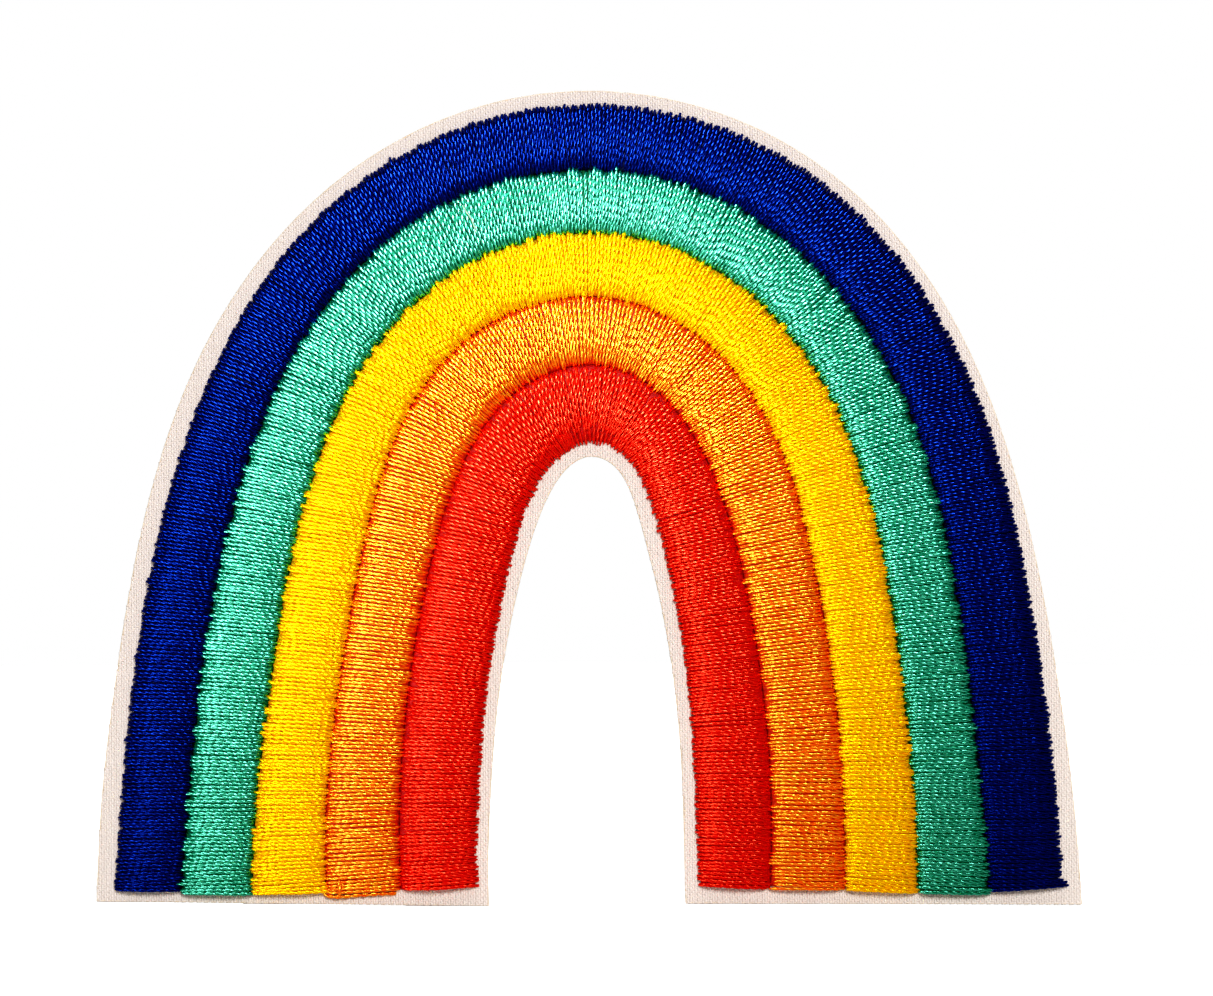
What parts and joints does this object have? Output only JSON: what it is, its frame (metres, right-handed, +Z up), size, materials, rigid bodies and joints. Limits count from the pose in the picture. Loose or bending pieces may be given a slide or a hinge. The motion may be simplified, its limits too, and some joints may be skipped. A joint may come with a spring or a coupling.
{
  "type": "embroidered patch",
  "caption": "Arch-shaped rainbow patch: five crowned satin-stitch columns on white twill with a heat-seal film back.",
  "frame": {"origin": "at the foot line, midway between the outer corners of the two feet, in the middle of the patch's thickness", "axes": "+Z up the arch, +X to the right seen from the front, front face looks towards -Y and the heat-seal back towards +Y"},
  "size_m": [0.0762, 0.0018, 0.0629],
  "materials": {
    "twill": "warm white polyester twill, fine diagonal weave, heat-cut edge",
    "nonwoven": "pressed non-woven fibre sheet",
    "film": "translucent hot-melt film, uneven satin gloss",
    "thread_blue": "shiny two-ply embroidery thread, royal navy blue",
    "thread_green": "shiny two-ply embroidery thread, mint green",
    "thread_yellow": "shiny two-ply embroidery thread, lemon yellow",
    "thread_orange": "shiny two-ply embroidery thread, orange",
    "thread_red": "shiny two-ply embroidery thread, scarlet",
    "bobbin_white": "fine matt white under-thread"
  },
  "bodies": {
    "root": {"twill_base": "twill", "stabiliser": "nonwoven", "heat_seal_film": "film", "satin_blue": "thread_blue", "satin_green": "thread_green", "satin_yellow": "thread_yellow", "satin_orange": "thread_orange", "satin_red": "thread_red", "underlay_blue": "thread_blue", "underlay_green": "thread_green", "underlay_yellow": "thread_yellow", "underlay_orange": "thread_orange", "underlay_red": "thread_red", "bobbin_blue": "bobbin_white", "bobbin_green": "bobbin_white", "bobbin_yellow": "bobbin_white", "bobbin_orange": "bobbin_white", "bobbin_red": "bobbin_white"}
  },
  "joints": []
}
